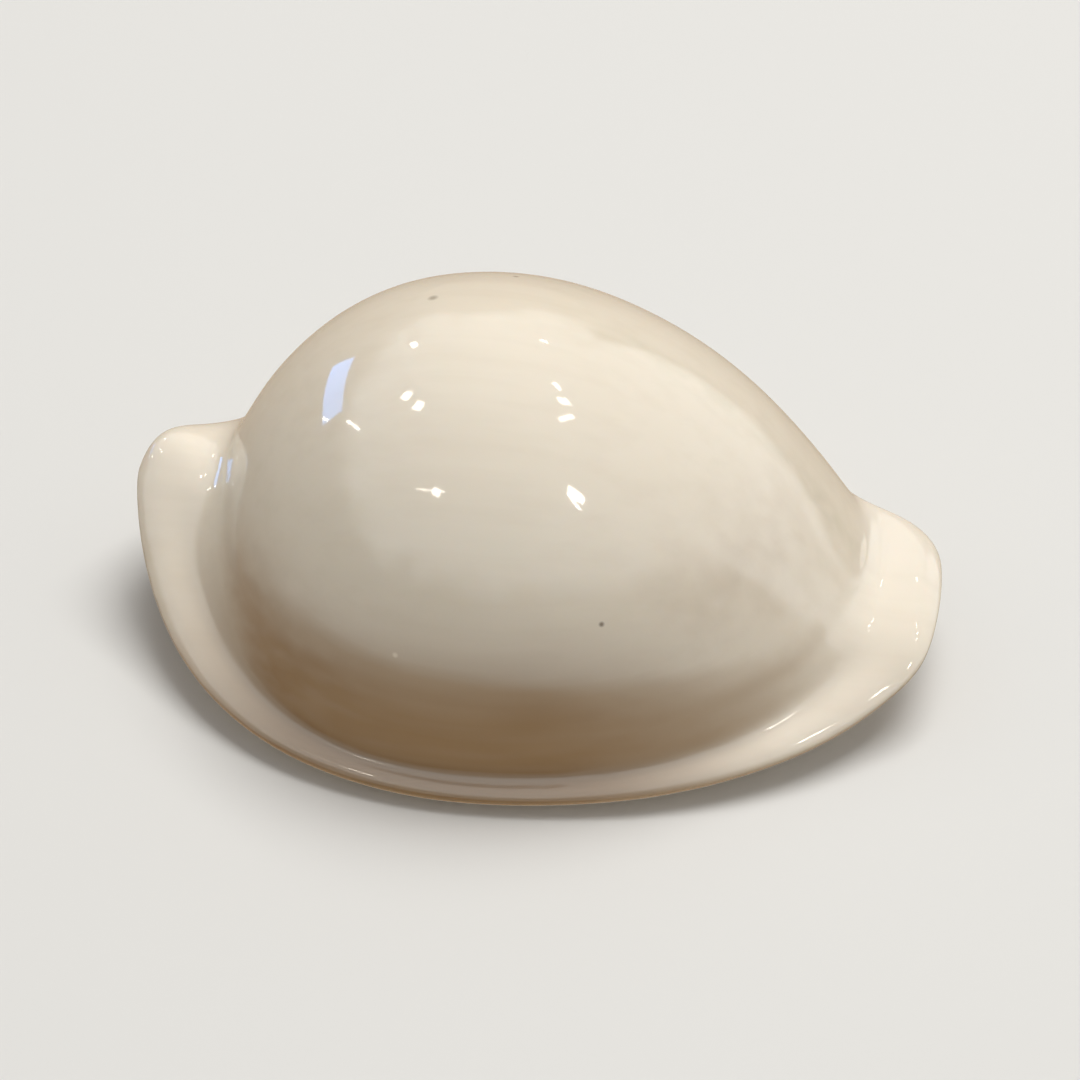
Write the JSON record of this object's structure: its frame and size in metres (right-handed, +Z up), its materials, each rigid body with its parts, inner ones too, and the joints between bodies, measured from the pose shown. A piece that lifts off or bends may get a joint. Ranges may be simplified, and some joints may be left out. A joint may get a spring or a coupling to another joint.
{
  "type": "egg cowrie shell",
  "caption": "Glossy cream-white egg cowrie shell, an inflated egg-shaped dome with a flared outer lip, drawn-out ends and a long slit underneath.",
  "frame": {"origin": "middle of the length and width, at the height of the surface that the shell rests on", "axes": "+X towards the front (anterior) end, +Y towards the columellar side, away from the flared outer lip, +Z up through the top of the dome"},
  "size_m": [0.0908, 0.0582, 0.0432],
  "materials": {
    "porcelain_shell": "natural high gloss, cream white aragonite"
  },
  "bodies": {
    "root": {"shell": "porcelain_shell"}
  },
  "joints": []
}
